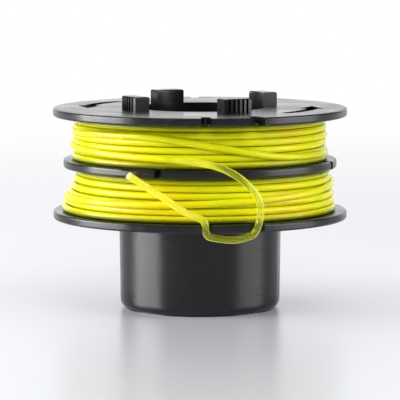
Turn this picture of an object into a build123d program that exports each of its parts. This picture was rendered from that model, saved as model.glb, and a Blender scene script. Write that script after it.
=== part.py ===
"""Trimmer line spool: a one-piece moulded spool with two bays of line, for a tap-fed trimmer head.

Millimetres, +Z up the spool's axis. The origin is the centre of the flat foot under the nose.
A bearing is an angle round the axis in degrees, 0 towards -Y and rising towards +X.
"""

import os
from math import cos, pi, radians, sin, tan

from build123d import *

# Line
line_diameter = 1.65

# Nose and barrel
nose_radius = 19.0
nose_length = 21.2
nose_draft = 0.8
nose_edge_round = 2.1
nose_floor = 3.5
gate_recess_radius = 4.5
gate_recess_depth = 0.7
barrel_radius = 17.6
bore_radius = 15.0

# Flanges and bays
flange_radius = 34.4
divider_radius = 32.0
flange_thickness = 1.9
bay_height = 10.1
rim_round = 0.45
rim_round_limit = 0.49  # share of the flange's thickness

# Drive dogs on the top flange
dog_count = 4
dog_first_bearing = 45.0
dog_setback = 0.4
dog_outer_radius = 19.0
dog_width = 7.0
dog_height = 3.1
dog_edge_round = 0.4
dog_groove_count = 5
dog_groove_width = 0.6
dog_groove_depth = 0.5

# Rim notches that park the line's ends, in opposite pairs
park_bearing = 19.5
park_depth = 4.0
park_clearance = 0.6
lead_bearing = 39.5
lead_depth = 4.2
lead_clearance = 1.0
lead_mouth_width = 3.4

# Slits in the divider's rim
slit_count = 4
slit_width = 1.65
slit_depth = 3.0

# Curved winding arrows sunk in the top flange
arrow_radius = 26.5
arrow_width = 2.6
arrow_head_width = 6.0
arrow_span = 48.0
arrow_head_span = 18.0
arrow_depth = 0.8

# Wound line
core_clearance = 0.1
ridge_depth = 0.4
ridge_crest_width = 0.7
upper_crest = 29.9
lower_crest_top = 29.9
lower_crest_bottom = 32.2

# Heights that follow from the sizes above
bottom_flange_z = nose_length
lower_bay_z = bottom_flange_z + flange_thickness
divider_z = lower_bay_z + bay_height
upper_bay_z = divider_z + flange_thickness
top_flange_z = upper_bay_z + bay_height
top_face_z = top_flange_z + flange_thickness

# Free ends of the line: bearing, radius and height of each point of the route
tail_arc_share = 0.45  # of the shorter run beside an arc
upper_tail_route = [
    (3.0, 30.9, 37.5),
    (14.5, 31.5, 37.1),
    (25.5, 33.2, 36.1),
    (34.6, 34.0, 32.9),
    (39.7, 34.1, 28.8),
    (40.3, 33.7, 24.8),
    (39.5, 33.0, 20.7),
    (35.6, 32.6, 19.7),
    (30.5, 32.5, 19.65),
    (24.5, 32.6, 19.75),
    (19.4, 33.0, 20.3),
    (19.3, 33.7, 24.3),
    (13.2, 34.0, 24.3),
    (6.9, 34.0, 26.6),
    (-1.7, 33.9, 30.1),
    (-11.1, 34.1, 34.0),
]
lower_tail_route = [
    (188.0, 31.25, 31.7),
    (199.5, 31.6, 31.2),
    (209.5, 32.8, 29.9),
    (217.0, 33.7, 27.6),
    (219.8, 33.7, 24.6),
    (219.5, 33.0, 20.7),
    (215.6, 32.6, 19.7),
    (210.5, 32.5, 19.65),
    (204.5, 32.6, 19.75),
    (199.4, 33.0, 20.3),
    (199.3, 33.7, 24.3),
    (194.6, 34.0, 26.4),
    (190.5, 34.0, 29.2),
    (184.5, 33.9, 32.7),
    (178.1, 34.0, 36.5),
]


def around(bearing):
    """A turn about the axis that carries the -Y side to the bearing."""
    return Rot(0, 0, bearing)


def point_at(bearing, radius, height):
    angle = radians(bearing)
    return Vector(radius * sin(angle), -radius * cos(angle), height)


def disc(radius, low):
    """A flange with a rounded rim, from the axis outwards."""
    with BuildSketch(Plane.XZ) as section:
        with Locations((0, low)):
            Rectangle(radius, flange_thickness, align=(Align.MIN, Align.MIN))
        rim = section.vertices().group_by(Axis.X)[-1]
        fillet(rim, min(rim_round, rim_round_limit * flange_thickness))
    return revolve(section.sketch, Axis.Z)


def nose():
    """The tapered nose that is tapped on the ground, with its rounded foot edge."""
    foot_radius = nose_radius - nose_length * tan(radians(nose_draft))
    with BuildSketch(Plane.XZ) as section:
        with BuildLine():
            Polyline((0, 0), (foot_radius, 0), (nose_radius, nose_length), (0, nose_length), close=True)
        make_face()
        foot_edge = section.vertices().group_by(Axis.Y)[0].sort_by(Axis.X)[-1]
        fillet(foot_edge, nose_edge_round)
    return revolve(section.sketch, Axis.Z) - Cylinder(
        gate_recess_radius, gate_recess_depth, align=(Align.CENTER, Align.CENTER, Align.MIN)
    )


def dogs():
    """Blocks on the top flange, set back a little from the bore and grooved outside."""
    inner_radius = bore_radius + dog_setback
    ring = Circle(dog_outer_radius) - Circle(inner_radius)
    block = ring & Pos(0, -inner_radius) * Rectangle(dog_width, 2 * (dog_outer_radius - inner_radius))
    dog = extrude(block, dog_height)
    dog = fillet(dog.faces().sort_by(Axis.Z)[-1].edges(), dog_edge_round)
    pitch = dog_width / (dog_groove_count + 1)
    for index in range(dog_groove_count):
        groove_x = (index + 1) * pitch - dog_width / 2
        root_y = dog_groove_depth - (dog_outer_radius**2 - groove_x**2) ** 0.5
        dog -= Pos(groove_x, root_y) * Box(
            dog_groove_width, 2 * dog_groove_depth, 2 * dog_height, align=(Align.CENTER, Align.MAX, Align.CENTER)
        )
    return [
        Pos(0, 0, top_face_z) * around(dog_first_bearing + 360 / dog_count * index) * dog
        for index in range(dog_count)
    ]


def rim_notch(root_width, mouth_width, depth, rim_radius, low):
    """A cutter from the rim inwards on the -Y side, round at its root."""
    reach = 2 * depth
    root_y = -(rim_radius - depth + root_width / 2)
    with BuildSketch() as outline:
        with Locations((0, root_y)):
            Circle(root_width / 2)
        with BuildLine():
            Polyline(
                (-root_width / 2, root_y),
                (-mouth_width / 2, -rim_radius),
                (-mouth_width / 2, -rim_radius - reach),
                (mouth_width / 2, -rim_radius - reach),
                (mouth_width / 2, -rim_radius),
                (root_width / 2, root_y),
                close=True,
            )
        make_face()
    return Pos(0, 0, low - flange_thickness) * extrude(outline.sketch, 3 * flange_thickness)


def line_notches(low):
    """The parking and lead-in notches of one flange, as two opposite pairs."""
    park_width = line_diameter + park_clearance
    lead_width = line_diameter + lead_clearance
    park = rim_notch(park_width, park_width, park_depth, flange_radius, low)
    lead = rim_notch(lead_width, lead_mouth_width, lead_depth, flange_radius, low)
    return [
        around(half_turn + bearing) * cutter
        for half_turn in (0, 180)
        for bearing, cutter in ((park_bearing, park), (lead_bearing, lead))
    ]


def divider_slits():
    slit = rim_notch(slit_width, slit_width, slit_depth, divider_radius, divider_z)
    return [around(360 / slit_count * index) * slit for index in range(slit_count)]


def arrow():
    """A curved arrow on the +X side that follows the way the line is wound."""
    shaft_span = arrow_span - arrow_head_span
    shaft_start = -arrow_span / 2
    head_start = shaft_start + shaft_span
    tip = point_at(90 + head_start + arrow_head_span, arrow_radius, 0)
    inner, outer = (point_at(90 + head_start, arrow_radius + side * arrow_head_width / 2, 0) for side in (-1, 1))
    with BuildSketch() as outline:
        with BuildLine():
            shaft = CenterArc((0, 0), arrow_radius, shaft_start, shaft_span)
            offset(shaft, arrow_width / 2, side=Side.BOTH)
        make_face()
        with BuildLine():
            Polyline(inner, outer, tip, close=True)
        make_face()
    return Pos(0, 0, top_face_z - arrow_depth) * extrude(outline.sketch, 2 * arrow_depth)


def spool_body():
    body = nose() + Cylinder(barrel_radius, top_face_z, align=(Align.CENTER, Align.CENTER, Align.MIN))
    body += disc(flange_radius, bottom_flange_z)
    body += disc(divider_radius, divider_z)
    body += disc(flange_radius, top_flange_z)
    body += dogs()
    body -= Pos(0, 0, nose_floor) * Cylinder(
        bore_radius, top_face_z + dog_height, align=(Align.CENTER, Align.CENTER, Align.MIN)
    )
    body -= line_notches(bottom_flange_z) + line_notches(top_flange_z) + divider_slits()
    return body - [around(half_turn) * arrow() for half_turn in (0, 180)]


def winding(low, bottom_crest, top_crest):
    """One bay's line as a ring that fills the bay, with a ridge for each turn of its outer layer."""
    turns = round(bay_height / line_diameter)
    pitch = bay_height / turns
    inner = barrel_radius + core_clearance

    def outline_point(height, drop):
        crest = bottom_crest + (top_crest - bottom_crest) * height / bay_height
        return crest - drop, low + height

    outline = [outline_point(0, ridge_depth)]
    for turn in range(turns):
        middle = (turn + 0.5) * pitch
        outline.append(outline_point(middle - ridge_crest_width / 2, 0))
        outline.append(outline_point(middle + ridge_crest_width / 2, 0))
        outline.append(outline_point(middle + pitch / 2, ridge_depth))
    outline += [(inner, low + bay_height), (inner, low)]
    return revolve(Plane.XZ * make_face(Polyline(*outline, close=True)), Axis.Z)


def tail(name, route):
    """A free end of line: straight runs joined by arcs as large as the runs allow."""
    points = [point_at(*place) for place in route]
    runs = [after - before for before, after in zip(points, points[1:])]
    radii = []
    for before, after in zip(runs, runs[1:]):
        half_turn = radians(before.get_angle(after)) / 2
        radii.append(tail_arc_share * min(before.length, after.length) / tan(half_turn))
    path = FilletPolyline(*points, radius=radii)
    tube = sweep(Plane(points[0], z_dir=runs[0]) * Circle(line_diameter / 2), path)
    section_area = pi * line_diameter**2 / 4
    print(name, "length", round(path.length, 1), "volume ratio", round(tube.volume / section_area / path.length, 4))
    print(name, "radii", [round(radius, 1) for radius in radii])
    return tube


pieces = {
    "spool_body": spool_body(),
    "upper_winding": winding(upper_bay_z, upper_crest, upper_crest),
    "lower_winding": winding(lower_bay_z, lower_crest_bottom, lower_crest_top),
    "upper_line_tail": tail("upper_line_tail", upper_tail_route),
    "lower_line_tail": tail("lower_line_tail", lower_tail_route),
}

os.makedirs("parts", exist_ok=True)
for node, piece in pieces.items():
    export_step(piece, f"parts/{node}.step")
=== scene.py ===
"""A trimmer line spool: a black moulded spool with two bays of yellow-green nylon line.

Metres, +Z up the spool's axis, with the origin at the centre of the flat foot under the nose.
A bearing is an angle round the axis in degrees, 0 towards -Y and rising towards +X.
"""

import logging
import math
import random
from dataclasses import dataclass, field
from enum import Enum
from typing import Callable, Sequence

import bmesh
import bpy
from bmesh.types import BMEdge, BMesh, BMVert
from mathutils import Matrix, Vector


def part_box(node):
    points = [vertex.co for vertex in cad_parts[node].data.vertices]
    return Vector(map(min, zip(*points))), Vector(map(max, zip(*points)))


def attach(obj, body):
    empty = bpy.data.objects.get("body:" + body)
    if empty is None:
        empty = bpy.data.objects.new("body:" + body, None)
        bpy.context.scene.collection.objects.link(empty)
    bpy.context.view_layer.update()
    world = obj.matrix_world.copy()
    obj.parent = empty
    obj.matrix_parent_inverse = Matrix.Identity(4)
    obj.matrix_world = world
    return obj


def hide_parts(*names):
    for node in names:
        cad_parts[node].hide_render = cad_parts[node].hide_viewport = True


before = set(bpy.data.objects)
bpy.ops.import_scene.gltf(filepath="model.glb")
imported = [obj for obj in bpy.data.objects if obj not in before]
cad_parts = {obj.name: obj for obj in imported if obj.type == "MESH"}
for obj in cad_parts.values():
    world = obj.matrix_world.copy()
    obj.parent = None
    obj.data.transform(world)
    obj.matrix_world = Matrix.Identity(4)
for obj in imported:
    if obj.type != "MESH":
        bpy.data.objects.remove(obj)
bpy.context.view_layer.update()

ROOT = "root"
LINE_DIAMETER = 0.00165
LINE_RADIUS = LINE_DIAMETER / 2
CAMERA_BEARING = 17.2
FULL_TURN = 360.0
MILLIMETRES = 1000.0
QUAD_CORNERS = 4
NOISE_MIDDLE = 0.5

Colour = tuple[float, float, float, float]
WHITE: Colour = (1.0, 1.0, 1.0, 1.0)

log = logging.getLogger("trimmer_line_spool")


class StrandValue(Enum):
    """The values that each vertex of a drawn strand carries for its finish."""

    FACING = "facing"
    ALONG = "along"


class Measure(Enum):
    """The sizes of a place that a smooth course draws between its marks."""

    RADIUS = "radius"
    HEIGHT = "height"


@dataclass(frozen=True)
class Place:
    """A point round the spool's axis.

    Attributes:
        bearing: The angle round the axis in degrees.
        radius: The distance from the axis in metres.
        height: The height above the foot in metres.
    """

    bearing: float
    radius: float
    height: float

    def size(self, measure: Measure) -> float:
        """The radius or the height, in metres."""
        return getattr(self, measure.value)

    def outward(self) -> Vector:
        """The level direction from the axis to the point."""
        angle = math.radians(self.bearing)
        return Vector((math.sin(angle), -math.cos(angle), 0.0))

    def point(self) -> Vector:
        """The point in the frame's own coordinates."""
        return self.radius * self.outward() + Vector((0.0, 0.0, self.height))


FOOT = Place(0.0, 0.0, 0.0)
UP = Vector((0.0, 0.0, 1.0))
BEHIND = Place(CAMERA_BEARING + FULL_TURN / 2, 1.0, 0.0).outward()

Course = Callable[[float], Place]


@dataclass
class NodeBench:
    """A node tree that is being built, with short calls to add and wire its nodes.

    Attributes:
        tree: The material's or world's node tree.
    """

    tree: bpy.types.NodeTree

    @classmethod
    def for_material(cls, name: str) -> tuple["NodeBench", bpy.types.Material, bpy.types.Node]:
        """Starts a material.

        Args:
            name: The material's name.

        Returns:
            The bench, the material and its surface shader.
        """
        material = bpy.data.materials.new(name)
        material.use_nodes = True
        return cls(material.node_tree), material, material.node_tree.nodes["Principled BSDF"]

    def add(self, kind: str, **settings: object) -> bpy.types.Node:
        """Adds a node.

        Args:
            kind: The node's type name.
            settings: Properties to set on the new node.

        Returns:
            The new node.
        """
        node = self.tree.nodes.new(kind)
        for name, value in settings.items():
            setattr(node, name, value)
        return node

    def feed(self, socket: bpy.types.NodeSocket, value: object) -> None:
        """Links another socket to an input, or sets the input to a value.

        Args:
            socket: The input.
            value: Another socket, a number, a vector or a colour.
        """
        if isinstance(value, bpy.types.NodeSocket):
            self.tree.links.new(value, socket)
        else:
            socket.default_value = value

    def object_coordinates(self) -> bpy.types.NodeSocket:
        """The place on the piece, in the frame's own metres."""
        return self.add("ShaderNodeTexCoord").outputs["Object"]

    def attribute(self, value: StrandValue) -> bpy.types.NodeSocket:
        """One of the values that a strand's vertices carry."""
        return self.add("ShaderNodeAttribute", attribute_name=value.value).outputs["Fac"]

    def seen(self, path: bpy.types.Node) -> bpy.types.NodeSocket:
        """Whether the camera sees a surface, straight or through clear line."""
        rays = (path.outputs["Is Camera Ray"], path.outputs["Is Transmission Ray"])
        return self.math("ADD", *rays, clamp=True)

    def math(self, operation: str, *values: object, clamp: bool = False) -> bpy.types.NodeSocket:
        """Adds a math node.

        Args:
            operation: The math node's operation.
            values: Its inputs in order, each a number or a socket.
            clamp: Whether the result stays between 0 and 1.

        Returns:
            The node's result.
        """
        node = self.add("ShaderNodeMath", operation=operation, use_clamp=clamp)
        for socket, value in zip(node.inputs, values):
            self.feed(socket, value)
        return node.outputs["Value"]

    def noise(
        self, vector: bpy.types.NodeSocket, scale: float, detail: float = 2.0
    ) -> bpy.types.NodeSocket:
        """Adds a noise texture.

        Args:
            vector: Where the noise is read.
            scale: How many cells there are in one unit of the vector.
            detail: How many finer layers it has.

        Returns:
            The noise value, about 0.5 on average.
        """
        node = self.add("ShaderNodeTexNoise")
        self.feed(node.inputs["Vector"], vector)
        self.feed(node.inputs["Scale"], scale)
        self.feed(node.inputs["Detail"], detail)
        return node.outputs["Fac"]

    def ease(
        self, value: bpy.types.NodeSocket, old: tuple[float, float], new: tuple[float, float] = (0.0, 1.0)
    ) -> bpy.types.NodeSocket:
        """Maps a value from one range to another along a smooth step.

        Args:
            value: The value to map.
            old: The range that it has.
            new: The range that it gets.

        Returns:
            The mapped value, kept within the new range.
        """
        node = self.add("ShaderNodeMapRange", interpolation_type="SMOOTHSTEP")
        for name, number in zip(("Value", "From Min", "From Max", "To Min", "To Max"), (value, *old, *new)):
            self.feed(node.inputs[name], number)
        return node.outputs["Result"]

    def blend(self, share: bpy.types.NodeSocket, first: object, second: object) -> bpy.types.NodeSocket:
        """Mixes two colours.

        Args:
            share: How much of the second colour there is.
            first: A colour or a colour socket.
            second: A colour or a colour socket.

        Returns:
            The mixed colour.
        """
        node = self.add("ShaderNodeMix", data_type="RGBA")
        colours = [socket for socket in node.inputs if socket.type == "RGBA"]
        self.feed(node.inputs["Factor"], share)
        self.feed(colours[0], first)
        self.feed(colours[1], second)
        return next(socket for socket in node.outputs if socket.type == "RGBA")

    def distance_from(self, place: Place) -> bpy.types.NodeSocket:
        """Measures how far a point of the piece is from a place.

        Args:
            place: The place to measure from.

        Returns:
            The distance in metres.
        """
        node = self.add("ShaderNodeVectorMath", operation="DISTANCE")
        self.feed(node.inputs[0], self.object_coordinates())
        self.feed(node.inputs[1], place.point())
        return node.outputs["Value"]

    def along(self, vector: bpy.types.NodeSocket, direction: Vector) -> bpy.types.NodeSocket:
        """Measures how far a vector reaches in a direction.

        Args:
            vector: The vector.
            direction: The direction, one unit long.

        Returns:
            The reach, in the vector's own units.
        """
        node = self.add("ShaderNodeVectorMath", operation="DOT_PRODUCT")
        self.feed(node.inputs[0], vector)
        self.feed(node.inputs[1], direction)
        return node.outputs["Value"]

    def bump(self, height: bpy.types.NodeSocket, relief: float, strength: float) -> bpy.types.NodeSocket:
        """Adds a bump.

        Args:
            height: The height field, from 0 to 1.
            relief: What a height of 1 is in metres.
            strength: How much of it shows.

        Returns:
            The bumped normal.
        """
        node = self.add("ShaderNodeBump")
        self.feed(node.inputs["Height"], height)
        self.feed(node.inputs["Distance"], relief)
        self.feed(node.inputs["Strength"], strength)
        return node.outputs["Normal"]


@dataclass(frozen=True)
class MouldedPlastic:
    """Semi-gloss black moulding with a faint mottle, a fine skin and scuffed rims.

    Attributes:
        name: The material's name.
        colour: The black itself.
        worn_colour: The greyer black where a rim has been handled.
        gloss: The roughness where the skin is smoothest and dullest.
        rim: The radii between which a flange's rim starts to show wear.
        specular: How strongly its surface mirrors, where 0.5 is usual.
        mottle_scale: How many cells the mottle has in a metre.
        mottle_detail: How many finer layers the mottle has.
        mottle: The range of the mottle's noise over which the gloss changes.
        scuff_scale: How many scuffs there are in a metre.
        scuff_detail: How many finer layers the scuffs have.
        scuff: The range of the scuffs' noise over which wear appears.
        skin_scale: How many cells the skin has in a metre.
        skin_relief: What the skin's full height is in metres.
        skin_strength: How much of that relief shows.
    """

    name: str = "moulded_black_plastic"
    colour: Colour = (0.0045, 0.0045, 0.0052, 1.0)
    worn_colour: Colour = (0.018, 0.018, 0.02, 1.0)
    gloss: tuple[float, float] = (0.20, 0.30)
    rim: tuple[float, float] = (0.0332, 0.0345)
    specular: float = 0.5
    mottle_scale: float = 110.0
    mottle_detail: float = 4.0
    mottle: tuple[float, float] = (0.3, 0.7)
    scuff_scale: float = 420.0
    scuff_detail: float = 3.0
    scuff: tuple[float, float] = (0.45, 0.75)
    skin_scale: float = 2400.0
    skin_relief: float = 0.000012
    skin_strength: float = 0.25

    def material(self) -> bpy.types.Material:
        """Makes the finish.

        Returns:
            The new material.
        """
        bench, material, shader = NodeBench.for_material(self.name)
        place = bench.object_coordinates()
        mottle = bench.noise(place, self.mottle_scale, self.mottle_detail)
        skin = bench.noise(place, self.skin_scale)
        flat = bench.add("ShaderNodeVectorMath", operation="MULTIPLY")
        bench.feed(flat.inputs[0], place)
        bench.feed(flat.inputs[1], (1.0, 1.0, 0.0))
        from_axis = bench.add("ShaderNodeVectorMath", operation="LENGTH")
        bench.feed(from_axis.inputs[0], flat.outputs["Vector"])
        on_rim = bench.ease(from_axis.outputs["Value"], self.rim)
        scuffed = bench.ease(bench.noise(place, self.scuff_scale, self.scuff_detail), self.scuff)
        worn = bench.math("MULTIPLY", on_rim, scuffed)
        bench.feed(shader.inputs["Base Color"], bench.blend(worn, self.colour, self.worn_colour))
        bench.feed(shader.inputs["Roughness"], bench.ease(mottle, self.mottle, self.gloss))
        bench.feed(shader.inputs["Normal"], bench.bump(skin, self.skin_relief, self.skin_strength))
        bench.feed(shader.inputs["Specular IOR Level"], self.specular)
        return material


@dataclass(frozen=True)
class Nylon:
    """What the wound and the free line share: yellow-green nylon that glows where light enters it.

    Attributes:
        colour: The line where it faces outwards.
        glow_radius: How far each colour of light travels in it, as shares.
        glow_scale: How far that is in metres.
        glow: How much of the light travels so.
        refraction: Its index of refraction.
    """

    colour: Colour = (0.77, 0.76, 0.004, 1.0)
    glow_radius: tuple[float, float, float] = (1.0, 0.95, 0.12)
    glow_scale: float = 0.0020
    glow: float = 0.8
    refraction: float = 1.53

    def start(self, name: str, specular: float) -> tuple[NodeBench, bpy.types.Material, bpy.types.Node]:
        """Starts a material of this nylon.

        Args:
            name: The material's name.
            specular: How strongly its surface mirrors, where 0.5 is usual.

        Returns:
            The bench, the material and its surface shader.
        """
        bench, material, shader = NodeBench.for_material(name)
        bench.feed(shader.inputs["IOR"], self.refraction)
        bench.feed(shader.inputs["Specular IOR Level"], specular)
        bench.feed(shader.inputs["Subsurface Weight"], self.glow)
        bench.feed(shader.inputs["Subsurface Radius"], self.glow_radius)
        bench.feed(shader.inputs["Subsurface Scale"], self.glow_scale)
        return bench, material, shader


@dataclass(frozen=True)
class WoundLine:
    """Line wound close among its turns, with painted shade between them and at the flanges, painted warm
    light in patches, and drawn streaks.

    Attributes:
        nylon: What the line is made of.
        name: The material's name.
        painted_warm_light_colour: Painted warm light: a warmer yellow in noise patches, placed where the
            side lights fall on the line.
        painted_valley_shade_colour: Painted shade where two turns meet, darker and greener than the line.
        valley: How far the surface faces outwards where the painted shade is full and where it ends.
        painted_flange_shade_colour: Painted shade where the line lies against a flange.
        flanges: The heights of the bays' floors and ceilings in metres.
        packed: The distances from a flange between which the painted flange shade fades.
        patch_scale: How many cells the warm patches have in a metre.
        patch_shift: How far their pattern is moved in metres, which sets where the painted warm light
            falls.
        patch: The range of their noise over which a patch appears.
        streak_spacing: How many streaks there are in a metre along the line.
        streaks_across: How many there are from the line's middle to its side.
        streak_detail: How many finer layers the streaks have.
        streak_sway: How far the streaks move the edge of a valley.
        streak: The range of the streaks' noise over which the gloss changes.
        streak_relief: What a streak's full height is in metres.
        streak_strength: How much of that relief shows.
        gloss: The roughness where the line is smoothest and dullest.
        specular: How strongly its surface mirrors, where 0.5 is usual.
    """

    nylon: Nylon
    name: str = "wound_nylon_line"
    painted_warm_light_colour: Colour = (0.82, 0.67, 0.003, 1.0)
    painted_valley_shade_colour: Colour = (0.54, 0.58, 0.002, 1.0)
    valley: tuple[float, float] = (-0.35, 0.75)
    painted_flange_shade_colour: Colour = (0.20, 0.23, 0.001, 1.0)
    flanges: tuple[float, ...] = (0.0231, 0.0332, 0.0351, 0.0452)
    packed: tuple[float, float] = (0.0003, 0.0018)
    patch_scale: float = 40.0
    patch_shift: tuple[float, float, float] = (0.013, 0.0, 0.0)
    patch: tuple[float, float] = (0.42, 0.62)
    streak_spacing: float = 45.0
    streaks_across: float = 4.0
    streak_detail: float = 3.0
    streak_sway: float = 0.5
    streak: tuple[float, float] = (0.3, 0.7)
    streak_relief: float = 0.00003
    streak_strength: float = 0.15
    gloss: tuple[float, float] = (0.2, 0.34)
    specular: float = 0.3

    def material(self) -> bpy.types.Material:
        """Makes the finish.

        Returns:
            The new material.
        """
        bench, material, shader = self.nylon.start(self.name, self.specular)
        facing = bench.attribute(StrandValue.FACING)
        along = bench.attribute(StrandValue.ALONG)
        on_strand = bench.add("ShaderNodeCombineXYZ")
        bench.feed(on_strand.inputs["X"], bench.math("MULTIPLY", along, self.streak_spacing))
        bench.feed(on_strand.inputs["Y"], bench.math("MULTIPLY", facing, self.streaks_across))
        streak = bench.noise(on_strand.outputs["Vector"], scale=1.0, detail=self.streak_detail)
        sway = bench.math("MULTIPLY", bench.math("SUBTRACT", streak, NOISE_MIDDLE), self.streak_sway)
        out = bench.math("ADD", facing, sway)
        place = bench.object_coordinates()
        # Painted warm light: warmer noise patches, their pattern shifted to lie where the side lights fall.
        shifted = bench.add("ShaderNodeVectorMath", operation="ADD")
        bench.feed(shifted.inputs[0], place)
        bench.feed(shifted.inputs[1], self.patch_shift)
        patch = bench.ease(bench.noise(shifted.outputs["Vector"], self.patch_scale), self.patch)
        colour = bench.blend(patch, self.nylon.colour, self.painted_warm_light_colour)
        # Painted shade in the valleys where two turns meet.
        colour = bench.blend(bench.ease(out, self.valley), self.painted_valley_shade_colour, colour)
        # Painted shade near each flange, on the line above and below it.
        height = bench.along(place, UP)
        for flange in self.flanges:
            gap = bench.math("ABSOLUTE", bench.math("SUBTRACT", height, flange))
            colour = bench.blend(bench.ease(gap, self.packed), self.painted_flange_shade_colour, colour)
        bench.feed(shader.inputs["Base Color"], colour)
        bench.feed(shader.inputs["Roughness"], bench.ease(streak, self.streak, self.gloss))
        bench.feed(shader.inputs["Normal"], bench.bump(streak, self.streak_relief, self.streak_strength))
        return material


@dataclass(frozen=True)
class FreeLine:
    """Line that hangs free: it clears as it leaves its bay, and pales again in the bent, parked stretch.

    Attributes:
        nylon: What the line is made of.
        name: The material's name.
        start: Where it leaves its bay.
        tip: Where it is cut.
        clear_colour: The line where it is clear.
        parked_colour: The paler line from the parking notch to the tip.
        cut_colour: The bruised nylon at the cut.
        clearing: The distances from the start between which it clears.
        parked: The distances from the tip between which the parked stretch ends.
        cut: The distances from the tip between which the cut end fades.
        clearness: How much light passes straight through the parked stretch and the clear one.
        side: How far it faces away where its sides start to hold the light, and where they hold most.
        side_clearness: The share of the clearness that its sides keep.
        cloud_scale: How many cells its faint clouding has in a metre.
        cloud: How much roughness the clouding adds.
        gloss: The roughness at the start and where it is clear.
        specular: How strongly its surface mirrors, where 0.5 is usual.
        edge: How much its sides catch the light.
        edge_roughness: How far round the sides that light spreads.
        edge_colour: The colour of that light.
    """

    nylon: Nylon
    name: str
    start: Place
    tip: Place
    clear_colour: Colour = (0.86, 0.93, 0.05, 1.0)
    parked_colour: Colour = (0.88, 0.85, 0.06, 1.0)
    cut_colour: Colour = (0.93, 0.92, 0.55, 1.0)
    clearing: tuple[float, float] = (0.0022, 0.0065)
    parked: tuple[float, float] = (0.017, 0.022)
    cut: tuple[float, float] = (0.0004, 0.0016)
    clearness: tuple[float, float] = (0.45, 0.88)
    side: tuple[float, float] = (0.2, 0.55)
    side_clearness: float = 0.2
    cloud_scale: float = 500.0
    cloud: float = 0.05
    gloss: tuple[float, float] = (0.26, 0.04)
    specular: float = 0.5
    edge: float = 0.35
    edge_roughness: float = 0.2
    edge_colour: Colour = (0.95, 1.0, 0.30, 1.0)

    def material(self) -> bpy.types.Material:
        """Makes the finish.

        Returns:
            The new material.
        """
        bench, material, shader = self.nylon.start(self.name, self.specular)
        from_tip = bench.distance_from(self.tip)
        whole = bench.ease(from_tip, self.cut)
        clear = bench.ease(bench.distance_from(self.start), self.clearing)
        led = bench.blend(bench.ease(from_tip, self.parked), self.parked_colour, self.clear_colour)
        colour = bench.blend(clear, self.nylon.colour, led)
        clearness = bench.ease(from_tip, self.parked, self.clearness)
        turned = bench.add("ShaderNodeLayerWeight").outputs["Facing"]
        side = bench.ease(turned, self.side, (1.0, self.side_clearness))
        free = bench.math("MULTIPLY", clear, whole)
        passing = bench.math("MULTIPLY", free, bench.math("MULTIPLY", clearness, side))
        clouding = bench.noise(bench.object_coordinates(), self.cloud_scale)
        cloud = bench.math("MULTIPLY", clouding, self.cloud)
        gloss = bench.ease(clear, (0.0, 1.0), self.gloss)
        bench.feed(shader.inputs["Base Color"], bench.blend(whole, self.cut_colour, colour))
        bench.feed(shader.inputs["Roughness"], bench.math("ADD", gloss, cloud))
        bench.feed(shader.inputs["Transmission Weight"], passing)
        bench.feed(shader.inputs["Sheen Weight"], self.edge)
        bench.feed(shader.inputs["Sheen Roughness"], self.edge_roughness)
        bench.feed(shader.inputs["Sheen Tint"], self.edge_colour)
        return material


@dataclass(frozen=True)
class StudioPaper:
    """Pale satin floor that turns to plain white away from the object.

    Attributes:
        name: The material's name.
        colour: The floor near the object.
        fade: The distances between which it turns white to the camera.
        behind: The distances behind the object between which it also turns white in reflections.
        roughness: How blurred its own reflections are.
    """

    name: str = "pale_studio_floor"
    colour: Colour = (0.66, 0.67, 0.715, 1.0)
    fade: tuple[float, float] = (0.16, 0.55)
    behind: tuple[float, float] = (0.10, 0.40)
    roughness: float = 0.28

    def material(self) -> bpy.types.Material:
        """Makes the finish.

        Returns:
            The new material.
        """
        bench, material, shader = NodeBench.for_material(self.name)
        bench.feed(shader.inputs["Base Color"], self.colour)
        bench.feed(shader.inputs["Roughness"], self.roughness)
        far = bench.ease(bench.distance_from(FOOT), self.fade)
        back = bench.ease(bench.along(bench.object_coordinates(), BEHIND), self.behind)
        path = bench.add("ShaderNodeLightPath")
        mirrored = bench.math("MULTIPLY", path.outputs["Is Glossy Ray"], back)
        shown = bench.math("ADD", bench.math("MULTIPLY", bench.seen(path), far), mirrored, clamp=True)
        white = bench.add("ShaderNodeEmission")
        mix = bench.add("ShaderNodeMixShader")
        bench.feed(mix.inputs["Fac"], shown)
        bench.feed(mix.inputs[1], shader.outputs["BSDF"])
        bench.feed(mix.inputs[2], white.outputs["Emission"])
        bench.feed(bench.tree.nodes["Material Output"].inputs["Surface"], mix.outputs["Shader"])
        return material


def new_piece(name: str, bm: BMesh, material: bpy.types.Material) -> bpy.types.Object:
    """Turns a finished bmesh into an object at the origin, smooth except on its many-sided ends.

    Args:
        name: The object's name.
        bm: The mesh, which is freed.
        material: Its finish.

    Returns:
        The new object, linked to the scene.
    """
    bmesh.ops.recalc_face_normals(bm, faces=bm.faces)
    for face in bm.faces:
        face.smooth = len(face.verts) <= QUAD_CORNERS
    mesh = bpy.data.meshes.new(name)
    bm.to_mesh(mesh)
    bm.free()
    mesh.materials.append(material)
    piece = bpy.data.objects.new(name, mesh)
    bpy.context.scene.collection.objects.link(piece)
    return piece


@dataclass
class SpoolBody:
    """The one-piece moulding, which comes over from CAD as it is.

    Attributes:
        node: Its CAD node.
        plastic: Its finish.
    """

    node: str = "spool_body"
    plastic: MouldedPlastic = MouldedPlastic()

    def dress(self) -> bpy.types.Object:
        """Gives the moulding its finish.

        Returns:
            The node's object.
        """
        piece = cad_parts[self.node]
        piece.data.materials.clear()
        piece.data.materials.append(self.plastic.material())
        return piece


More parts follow.
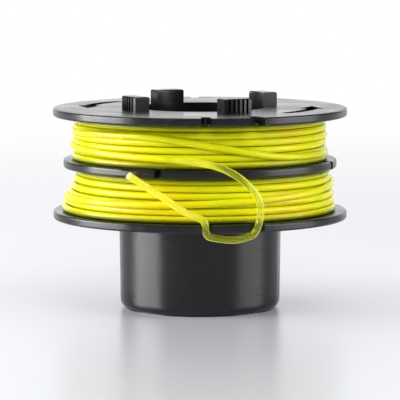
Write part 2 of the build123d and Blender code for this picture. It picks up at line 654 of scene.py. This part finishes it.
@dataclass
class Strand:
    """A round length of line that is drawn along a course by extruding its section.

    Attributes:
        course: Where the line's middle lies at each angle of its winding.
        start: The angle where it begins, in degrees.
        end: The angle where it ends.
        step: The most between two sections, as an angle.
        sides: How many sides the section has.
        nudge: How far to each side the course is read to find its direction, as an angle.
        proud: Whether it stands clear of the turns beside it.
        tuck: The angle over which its end narrows, to hide inside another piece.
        tucked_size: How narrow it is at that end, as a share.
    """

    course: Course
    start: float
    end: float
    step: float = 3.0
    sides: int = 12
    nudge: float = 0.5
    proud: bool = False
    tuck: float = 0.0
    tucked_size: float = 0.85

    def section_at(self, angle: float) -> Matrix:
        """Finds where the section stands at an angle.

        Args:
            angle: The angle of winding in degrees.

        Returns:
            A matrix that carries the section there, with its X axis outwards and its Z axis along the line.
        """
        place = self.course(angle)
        before, after = self.course(angle - self.nudge), self.course(angle + self.nudge)
        along = (after.point() - before.point()).normalized()
        outward = (place.outward() - along * place.outward().dot(along)).normalized()
        turn = Matrix((outward, along.cross(outward), along)).transposed()
        left = (self.end - angle) / self.tuck if self.tuck else 1.0
        size = self.tucked_size + (1.0 - self.tucked_size) * min(left, 1.0)
        return Matrix.Translation(place.point()) @ turn.to_4x4() @ Matrix.Scale(size, 4)

    def draw(self) -> BMesh:
        """Draws the strand.

        Returns:
            A new bmesh with both ends closed.
        """
        bm = bmesh.new()
        facing = bm.verts.layers.float.new(StrandValue.FACING.value)
        along = bm.verts.layers.float.new(StrandValue.ALONG.value)
        ring: list[BMVert] = bmesh.ops.create_circle(bm, segments=self.sides, radius=LINE_RADIUS)["verts"]
        edges: list[BMEdge] = list(bm.edges)
        first_edges = edges
        for vert in ring:
            # The facing value places the painted valley shade; a proud turn gets none.
            vert[facing] = 1.0 if self.proud else vert.co.x / LINE_RADIUS
        sections = math.ceil((self.end - self.start) / self.step)
        there = Matrix.Identity(4)
        reach = 0.0
        for index in range(sections + 1):
            section = self.section_at(self.start + (self.end - self.start) * index / sections)
            if index:
                made = bmesh.ops.extrude_edge_only(bm, edges=edges)["geom"]
                ring = [item for item in made if isinstance(item, BMVert)]
                fresh = set(ring)
                edges = [item for item in made if isinstance(item, BMEdge) and fresh.issuperset(item.verts)]
                reach += (section.translation - there.translation).length
            bmesh.ops.transform(bm, matrix=section @ there.inverted(), verts=ring)
            for vert in ring:
                vert[along] = reach
            there = section
        for rim in (first_edges, edges):
            bmesh.ops.edgeloop_fill(bm, edges=rim)
        return bm


@dataclass
class SmoothCourse:
    """A course that runs smoothly through chosen places.

    Attributes:
        marks: The places, in the order of their bearings.
    """

    marks: Sequence[Place]

    def slope(self, index: int, measure: Measure) -> float:
        """Finds how fast a measure changes at a mark.

        Args:
            index: The mark's number.
            measure: Which measure.

        Returns:
            The change in metres for each degree.
        """
        last = len(self.marks) - 1
        before, after = self.marks[max(index - 1, 0)], self.marks[min(index + 1, last)]
        return (after.size(measure) - before.size(measure)) / (after.bearing - before.bearing)

    def between(self, index: int, share: float, measure: Measure) -> float:
        """Finds a measure between two marks, on a cubic that keeps their slopes.

        Args:
            index: The number of the mark before.
            share: How far it is from there to the next mark, from 0 to 1.
            measure: Which measure.

        Returns:
            The measure in metres.
        """
        rest = 1.0 - share
        before, after = self.marks[index], self.marks[index + 1]
        start, end = before.size(measure), after.size(measure)
        eased = start * rest * rest * (1.0 + 2.0 * share) + end * share * share * (3.0 - 2.0 * share)
        lean = self.slope(index, measure) * rest - self.slope(index + 1, measure) * share
        return eased + (after.bearing - before.bearing) * share * rest * lean

    def at(self, angle: float) -> Place:
        """Finds the place at an angle.

        Args:
            angle: The angle of winding in degrees.

        Returns:
            The place, with the angle as its bearing.
        """
        index = max(i for i, mark in enumerate(self.marks[:-1]) if i == 0 or mark.bearing <= angle)
        before, after = self.marks[index], self.marks[index + 1]
        share = (angle - before.bearing) / (after.bearing - before.bearing)
        return Place(angle, *(self.between(index, share, measure) for measure in Measure))


@dataclass
class Wander:
    """A slow unevenness along a strand: a few waves with seeded phases.

    Attributes:
        size: The most that it moves to one side, in metres.
        seed: What its phases are drawn from.
        waves: How many times each wave repeats in one turn.
        phases: Where each wave starts, drawn from the seed.
    """

    size: float
    seed: int
    waves: tuple[float, ...] = (0.71, 1.37, 2.63)
    phases: list[float] = field(init=False)

    def __post_init__(self) -> None:
        """Draws the phases."""
        draw = random.Random(self.seed)
        self.phases = [draw.uniform(0.0, math.tau) for _ in self.waves]

    def at(self, angle: float) -> float:
        """Finds the offset at an angle.

        Args:
            angle: The angle of winding in degrees.

        Returns:
            The offset in metres.
        """
        turn = math.radians(angle)
        total = sum(math.sin(wave * turn + phase) for wave, phase in zip(self.waves, self.phases))
        return self.size * total / len(self.waves)


@dataclass
class Crests:
    """How far the turns of a bay stand from the axis, round the bay and up it.

    Attributes:
        slack_low: The crest's radius at the bottom, on the side where the turns have slumped.
        slack_high: The crest's radius at the top on that side.
        full_low: The crest's radius at the bottom on the opposite side.
        full_high: The crest's radius at the top on the opposite side.
        slack_bearing: The bearing of the slumped side.
    """

    slack_low: float
    slack_high: float
    full_low: float
    full_high: float
    slack_bearing: float = -73.0

    def at(self, bearing: float, share: float) -> float:
        """Finds the crest's radius.

        Args:
            bearing: The bearing in degrees.
            share: The height in the bay, from 0 to 1.

        Returns:
            The radius in metres.
        """
        slack = 0.5 + 0.5 * math.cos(math.radians(bearing - self.slack_bearing))
        low = self.full_low + (self.slack_low - self.full_low) * slack
        high = self.full_high + (self.slack_high - self.full_high) * slack
        return low + (high - low) * share


@dataclass
class WoundBay:
    """The line wound in one bay: a packed core, two layers of touching turns and a loose outer turn.

    Attributes:
        name: The piece's name.
        node: The CAD node that it stands for, which gives the bay's height.
        crests: How far its turns stand out.
        loose_turn: Bearing, radius and height of points along the outermost turn.
        loose_end: The angle where the outermost turn becomes the free end.
        seed: What its unevenness is drawn from.
        overlap: How far the outermost turn runs on inside the free end, in degrees.
        wander: How far its turns stray outwards or inwards.
        drift: How far its turns stray up or down.
        drift_seed: What is added to the seed for the drift.
        nestling: How much nearer to the axis a layer lies than the one round it.
        crossing: The bearings between which a turn steps up to the next.
        core_radius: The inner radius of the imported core.
        core_depth: How far under the outer layer the core starts, in layers.
        core_bearing: The bearing where the core takes its outer radius.
        core_steps: How many steps the core's lathing has.
        low: The height of the bay's floor, from the node.
        high: The height of the bay's ceiling, from the node.
    """

    name: str
    node: str
    crests: Crests
    loose_turn: Sequence[tuple[float, float, float]]
    loose_end: float
    seed: int
    overlap: float = 4.0
    wander: float = 0.00022
    drift: float = 0.00007
    drift_seed: int = 10
    nestling: float = 0.00143
    crossing: tuple[float, float] = (150.0, 205.0)
    core_radius: float = 0.0177
    core_depth: float = 1.5
    core_bearing: float = 17.0
    core_steps: int = 96
    low: float = field(init=False)
    high: float = field(init=False)

    def __post_init__(self) -> None:
        """Takes the bay's height from the frame."""
        low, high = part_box(self.node)
        self.low, self.high = low.z, high.z

    def layer(self, depth: int) -> Strand:
        """Lays out one layer of turns, each flat until it steps up to the next.

        Args:
            depth: 0 for the outer layer and 1 for the one under it.

        Returns:
            The layer's strand.
        """
        turns = round((self.high - self.low) / LINE_DIAMETER) - depth
        rise = self.high - self.low - LINE_DIAMETER * (1 + depth)
        pitch = rise / (turns - 1)
        first = self.low + LINE_RADIUS * (1 + depth)
        stray = Wander(self.wander, self.seed + depth)
        drift = Wander(self.drift, self.seed + depth + self.drift_seed)
        begin, end = self.crossing
        flat = FULL_TURN - (end - begin)

        def course(angle: float) -> Place:
            """Finds the middle of the layer's line.

            Args:
                angle: The angle of winding in degrees.

            Returns:
                The place, with the angle as its bearing.
            """
            turn, bearing = divmod(angle - end, FULL_TURN)
            step = max(0.0, (bearing - flat) / (end - begin))
            step = step * step * (3.0 - 2.0 * step)
            height = first + pitch * (turn + step) + drift.at(angle)
            height = min(max(height, self.low + LINE_RADIUS), self.high - LINE_RADIUS)
            share = (height - self.low) / (self.high - self.low)
            crest = self.crests.at(angle, share) + stray.at(angle)
            return Place(angle, crest - LINE_RADIUS - depth * self.nestling, height)

        return Strand(course, end, end + FULL_TURN * (turns - 1) + flat)

    def outer_turn(self) -> Strand:
        """Lays out the loose outermost turn, a smooth line through its chosen points.

        Returns:
            Its strand, which ends a little inside the free end.
        """
        course = SmoothCourse([Place(*mark) for mark in self.loose_turn])
        end = self.loose_end + self.overlap
        return Strand(course.at, course.marks[0].bearing, end, proud=True, tuck=self.overlap)

    def core(self) -> BMesh:
        """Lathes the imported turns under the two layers, as one ring.

        Returns:
            A new bmesh of the ring.
        """
        bm = bmesh.new()
        inner = self.core_radius
        depth = LINE_RADIUS + self.core_depth * self.nestling
        outer_low, outer_high = (self.crests.at(self.core_bearing, share) - depth for share in (0.0, 1.0))
        corners = [(inner, self.low), (outer_low, self.low), (outer_high, self.high), (inner, self.high)]
        verts = [bm.verts.new((radius, 0.0, height)) for radius, height in corners]
        edges = [bm.edges.new((verts[index - 1], verts[index])) for index in range(len(verts))]
        bmesh.ops.spin(
            bm,
            geom=verts + edges,
            cent=FOOT.point(),
            axis=UP,
            angle=math.tau,
            steps=self.core_steps,
            use_merge=True,
        )
        return bm

    def build(self, material: bpy.types.Material) -> bpy.types.Object:
        """Makes the bay's line as one piece that stands for its CAD node.

        Args:
            material: The wound line's finish.

        Returns:
            The new piece.
        """
        bm = bmesh.new()
        parts = [self.layer(0).draw(), self.layer(1).draw(), self.outer_turn().draw(), self.core()]
        for part in parts:
            scratch = bpy.data.meshes.new("strand")
            part.to_mesh(scratch)
            part.free()
            bm.from_mesh(scratch)
            bpy.data.meshes.remove(scratch)
        piece = new_piece(self.name, bm, material)
        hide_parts(self.node)
        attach(piece, ROOT)
        return piece


@dataclass
class LineTail:
    """A free end of line, led through the bottom flange's notches and parked.

    Attributes:
        name: The piece's name.
        node: The CAD node that it stands for.
        length: Its real length in metres.
        route: Bearing, radius and height of the points of its route.
        order: The spline's order.
        steps_a_span: How many steps the spline has from one point to the next.
        section_detail: How finely the section is rounded.
    """

    name: str
    node: str
    length: float
    route: Sequence[tuple[float, float, float]]
    order: int = 3
    steps_a_span: int = 16
    section_detail: int = 6

    def finish(self, nylon: Nylon) -> FreeLine:
        """The finish of this tail, which changes from its start to its tip."""
        return FreeLine(nylon, f"{self.name}_nylon", Place(*self.route[0]), Place(*self.route[-1]))

    def build(self, nylon: Nylon) -> bpy.types.Object:
        """Makes the tail as one smooth spline with a round section.

        It casts no shadow, because clear line would cast a solid one.

        Args:
            nylon: What the line is made of.

        Returns:
            The new piece.
        """
        points = [Place(*place).point() for place in self.route]
        curve = bpy.data.curves.new(self.name, "CURVE")
        curve.dimensions = "3D"
        spline = curve.splines.new("NURBS")
        spline.points.add(len(points) - 1)
        for control, point in zip(spline.points, points):
            control.co = (*point, 1.0)
        spline.order_u = self.order
        spline.use_endpoint_u = True
        spline.resolution_u = self.steps_a_span
        curve.bevel_depth = LINE_RADIUS
        curve.bevel_resolution = self.section_detail
        curve.use_fill_caps = True
        curve.materials.append(self.finish(nylon).material())
        piece = bpy.data.objects.new(self.name, curve)
        piece.visible_shadow = False
        bpy.context.scene.collection.objects.link(piece)
        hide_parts(self.node)
        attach(piece, ROOT)
        return piece


@dataclass
class Softbox:
    """A soft rectangular studio light that faces the object.

    Attributes:
        name: The light's name.
        bearing: The bearing that it stands at, from the camera's own bearing, in degrees.
        elevation: Its angle above the object, in degrees.
        distance: Its distance from the object in metres.
        width: Its width in metres.
        height: Its height in metres.
        radiance: How bright its face is, where 1 is white.
        mirrored: Whether glossy surfaces show it.
        lights_matt: Whether it lights matt surfaces.
    """

    name: str
    bearing: float
    elevation: float
    distance: float
    width: float
    height: float
    radiance: float
    mirrored: bool = True
    lights_matt: bool = True

    def build(self, aim: Vector) -> bpy.types.Object:
        """Makes the light.

        Args:
            aim: The point that it faces.

        Returns:
            The new light.
        """
        light = bpy.data.lights.new(self.name, "AREA")
        light.shape = "RECTANGLE"
        light.size = self.width
        light.size_y = self.height
        light.energy = self.radiance * math.pi * self.width * self.height
        lamp = bpy.data.objects.new(self.name, light)
        up = math.radians(self.elevation)
        out = Place(CAMERA_BEARING + self.bearing, 1.0, 0.0).outward() * math.cos(up)
        away = out + UP * math.sin(up)
        lamp.location = aim + away * self.distance
        lamp.rotation_euler = away.to_track_quat("Z", "Y").to_euler()
        lamp.visible_camera = False
        lamp.visible_glossy = self.mirrored
        lamp.visible_diffuse = self.lights_matt
        bpy.context.scene.collection.objects.link(lamp)
        return lamp


@dataclass
class Studio:
    """The floor, the lights, the white surround and the camera.

    Attributes:
        floor_half: Half of the floor's side in metres.
        camera_distance: The camera's level distance from the axis in metres.
        camera_height: The camera's height above the foot in metres.
        aim_height: The height that it looks at.
        lens: Its focal length in millimetres.
        clip_start: The nearest that it sees in metres.
        ambient: How bright the surround is to matt surfaces.
        dim: How bright it is in reflections, except behind the object and overhead.
        backdrop: The range, as a cosine from straight behind, over which reflections turn white.
        ceiling: The range, as a cosine from straight up, over which reflections brighten.
        ceiling_glow: How bright they are there.
        softboxes: The lights.
    """

    floor_half: float = 3.0
    camera_distance: float = 0.693
    camera_height: float = 0.0994
    aim_height: float = 0.0252
    lens: float = 267.0
    clip_start: float = 0.01
    ambient: float = 0.22
    dim: float = 0.16
    backdrop: tuple[float, float] = (0.72, 0.92)
    ceiling: tuple[float, float] = (0.70, 0.95)
    ceiling_glow: float = 0.8
    softboxes: Sequence[Softbox] = (
        Softbox("left_softbox", -82.0, 14.0, 0.55, 0.46, 0.34, 8.5),
        Softbox("left_card", -82.0, 14.0, 0.54, 0.46, 0.34, 4.5, lights_matt=False),
        Softbox("right_softbox", 78.0, 13.0, 0.60, 0.46, 0.38, 4.5),
        Softbox("rear_softbox", 180.0, 20.0, 0.90, 1.10, 0.55, 0.3),
        Softbox("key_softbox", 8.0, 42.0, 0.70, 0.46, 0.46, 2.9, mirrored=False),
        Softbox("rear_fill", 190.0, 40.0, 0.70, 0.50, 0.50, 2.2, mirrored=False),
    )

    def build(self, paper: bpy.types.Material) -> None:
        """Sets up everything round the object.

        Args:
            paper: The floor's finish.
        """
        self._lay_floor(paper)
        aim = Vector((0.0, 0.0, self.aim_height))
        for softbox in self.softboxes:
            softbox.build(aim)
        self._surround()
        self._place_camera(aim)
        bpy.context.scene.view_settings.view_transform = "Standard"

    def _lay_floor(self, paper: bpy.types.Material) -> None:
        """Lays the floor under the foot.

        Args:
            paper: The floor's finish.
        """
        bm = bmesh.new()
        bmesh.ops.create_grid(bm, x_segments=1, y_segments=1, size=self.floor_half)
        floor = new_piece("studio_floor", bm, paper)

    def _surround(self) -> None:
        """Makes the surround, which is white to the camera.

        In reflections it is white behind the object, pale overhead and dim elsewhere.
        """
        world = bpy.data.worlds.new("studio_surround")
        world.use_nodes = True
        bpy.context.scene.world = world
        bench = NodeBench(world.node_tree)
        background = world.node_tree.nodes["Background"]
        direction = bench.add("ShaderNodeTexCoord").outputs["Generated"]
        backdrop = bench.ease(bench.along(direction, BEHIND), self.backdrop, (self.dim, 1.0))
        ceiling = bench.ease(bench.along(direction, UP), self.ceiling, (self.dim, self.ceiling_glow))
        path = bench.add("ShaderNodeLightPath")
        strength = bench.add("ShaderNodeMix")
        bench.feed(strength.inputs["Factor"], path.outputs["Is Glossy Ray"])
        bench.feed(strength.inputs["A"], self.ambient)
        bench.feed(strength.inputs["B"], bench.math("MAXIMUM", backdrop, ceiling))
        shown = bench.math("MAXIMUM", bench.seen(path), strength.outputs["Result"])
        bench.feed(background.inputs["Color"], WHITE)
        bench.feed(background.inputs["Strength"], shown)

    def _place_camera(self, aim: Vector) -> None:
        """Stands the camera where the view is taken from.

        Args:
            aim: The point that it looks at.
        """
        data = bpy.data.cameras.new("camera")
        data.lens = self.lens
        data.clip_start = self.clip_start
        camera = bpy.data.objects.new("camera", data)
        camera.location = Place(CAMERA_BEARING, self.camera_distance, self.camera_height).point()
        camera.rotation_euler = (camera.location - aim).to_track_quat("Z", "Y").to_euler()
        bpy.context.scene.collection.objects.link(camera)
        bpy.context.scene.camera = camera


UPPER_BAY = WoundBay(
    name="upper_wound_line",
    node="upper_winding",
    crests=Crests(0.0302, 0.0296, 0.0298, 0.0296),
    loose_turn=[
        (-190.0, 0.0284, 0.0440),
        (-150.0, 0.0292, 0.0434),
        (-73.0, 0.0293, 0.0418),
        (-25.0, 0.0296, 0.0423),
        (-2.0, 0.0298, 0.0422),
        (25.0, 0.0299, 0.0401),
        (52.0, 0.0298, 0.0377),
        (80.0, 0.0294, 0.0370),
        (180.0, 0.0293, 0.0369),
        (287.0, 0.0297, 0.0386),
        (335.0, 0.0301, 0.0379),
        (363.0, 0.0309, 0.0375),
        (374.5, 0.0315, 0.0371),
    ],
    loose_end=363.0,
    seed=11,
)
LOWER_BAY = WoundBay(
    name="lower_wound_line",
    node="lower_winding",
    crests=Crests(0.0327, 0.0286, 0.0321, 0.0302),
    loose_turn=[
        (-200.0, 0.0305, 0.0246),
        (-160.0, 0.0318, 0.0250),
        (-73.0, 0.0312, 0.0264),
        (0.0, 0.0315, 0.0272),
        (60.0, 0.0311, 0.0285),
        (107.0, 0.0307, 0.0298),
        (150.0, 0.0310, 0.0311),
        (170.0, 0.0311, 0.0316),
        (188.0, 0.03125, 0.0317),
        (199.5, 0.0316, 0.0312),
    ],
    loose_end=188.0,
    seed=23,
    wander=0.0003,
)
UPPER_TAIL = LineTail(
    name="upper_free_end",
    node="upper_line_tail",
    length=0.0675,
    route=[
        (3.0, 0.0309, 0.0375),
        (14.5, 0.0315, 0.0371),
        (25.5, 0.0332, 0.0361),
        (34.6, 0.0340, 0.0329),
        (40.5, 0.0341, 0.0288),
        (41.3, 0.0337, 0.0248),
        (39.5, 0.0330, 0.0208),
        (35.6, 0.0326, 0.0199),
        (30.5, 0.0325, 0.0194),
        (24.5, 0.0326, 0.0199),
        (19.4, 0.0330, 0.0204),
        (19.3, 0.0337, 0.0243),
        (13.2, 0.0340, 0.0253),
        (6.9, 0.0340, 0.0278),
        (-1.7, 0.0339, 0.0309),
        (-11.1, 0.0341, 0.0340),
    ],
)
LOWER_TAIL = LineTail(
    name="lower_free_end",
    node="lower_line_tail",
    length=0.0569,
    route=[
        (188.0, 0.03125, 0.0317),
        (199.5, 0.0316, 0.0312),
        (209.5, 0.0328, 0.0299),
        (217.0, 0.0337, 0.0276),
        (219.8, 0.0337, 0.0246),
        (219.5, 0.0330, 0.0207),
        (215.6, 0.0326, 0.0197),
        (210.5, 0.0325, 0.01965),
        (204.5, 0.0326, 0.01975),
        (199.4, 0.0330, 0.0203),
        (199.3, 0.0337, 0.0243),
        (194.6, 0.0340, 0.0264),
        (190.5, 0.0340, 0.0292),
        (184.5, 0.0339, 0.0327),
        (178.1, 0.0340, 0.0365),
    ],
)


def main() -> None:
    """Builds and dresses the spool, then the studio round it."""
    logging.basicConfig(level=logging.INFO, format="%(name)s: %(message)s")
    body = SpoolBody().dress()
    log.info("dressed %s", body.name)
    nylon = Nylon()
    wound = WoundLine(nylon).material()
    for bay in (UPPER_BAY, LOWER_BAY):
        piece = bay.build(wound)
        log.info("wound %s, %d faces", piece.name, len(piece.data.polygons))
    for tail in (UPPER_TAIL, LOWER_TAIL):
        piece = tail.build(nylon)
        log.info("led out %s, %.1f mm", piece.name, tail.length * MILLIMETRES)
    Studio().build(StudioPaper().material())


if __name__ == "__main__":
    main()
